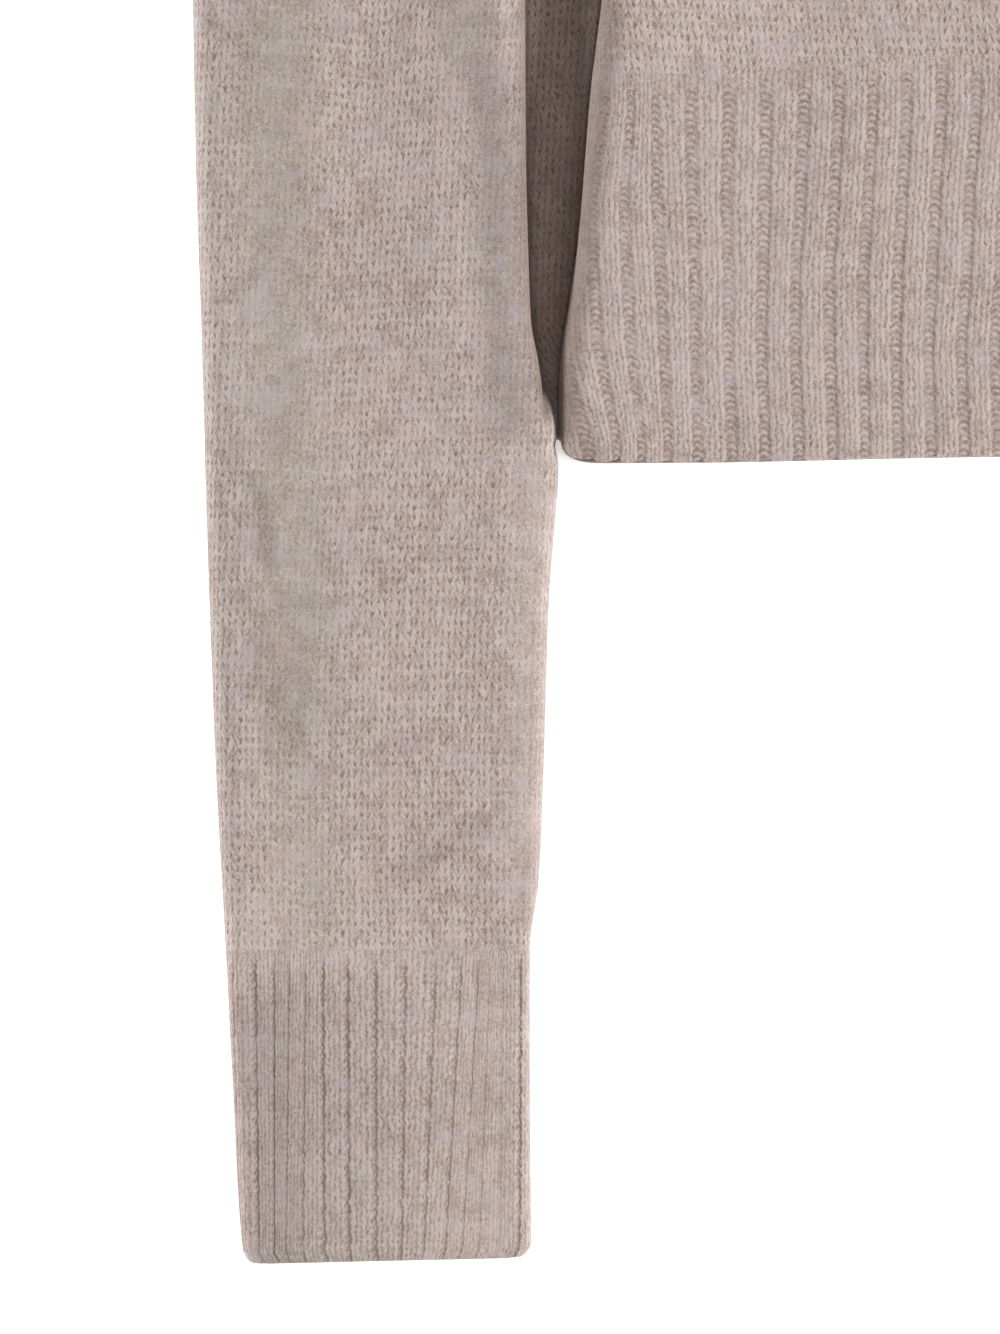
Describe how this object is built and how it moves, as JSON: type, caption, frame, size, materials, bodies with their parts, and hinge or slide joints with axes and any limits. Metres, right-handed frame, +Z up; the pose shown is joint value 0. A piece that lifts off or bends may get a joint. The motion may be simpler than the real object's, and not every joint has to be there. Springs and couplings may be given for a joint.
{
  "type": "cropped long-sleeved sweater, laid flat",
  "caption": "Cropped knitted wool sweater with long sleeves, deep ribbed hem and cuffs and a ribbed crew neck, laid out flat on its back.",
  "frame": {"origin": "on the surface that the sweater lies on, under the middle of its bounding box", "axes": "+Z up, out of the sweater's front; +Y from the hem towards the neck; +X across, towards the wearer's left sleeve"},
  "size_m": [0.7002, 0.6512, 0.019],
  "materials": {
    "wool_knit": "soft matte heathered plain knit",
    "wool_rib": "soft matte heathered rib knit"
  },
  "bodies": {
    "root": {"front": "wool_knit", "back": "wool_knit", "hem_rib_front": "wool_rib", "hem_rib_back": "wool_rib", "neckband": "wool_rib", "sleeve_right": "wool_knit", "sleeve_left": "wool_knit", "cuff_right": "wool_rib", "cuff_left": "wool_rib"}
  },
  "joints": []
}
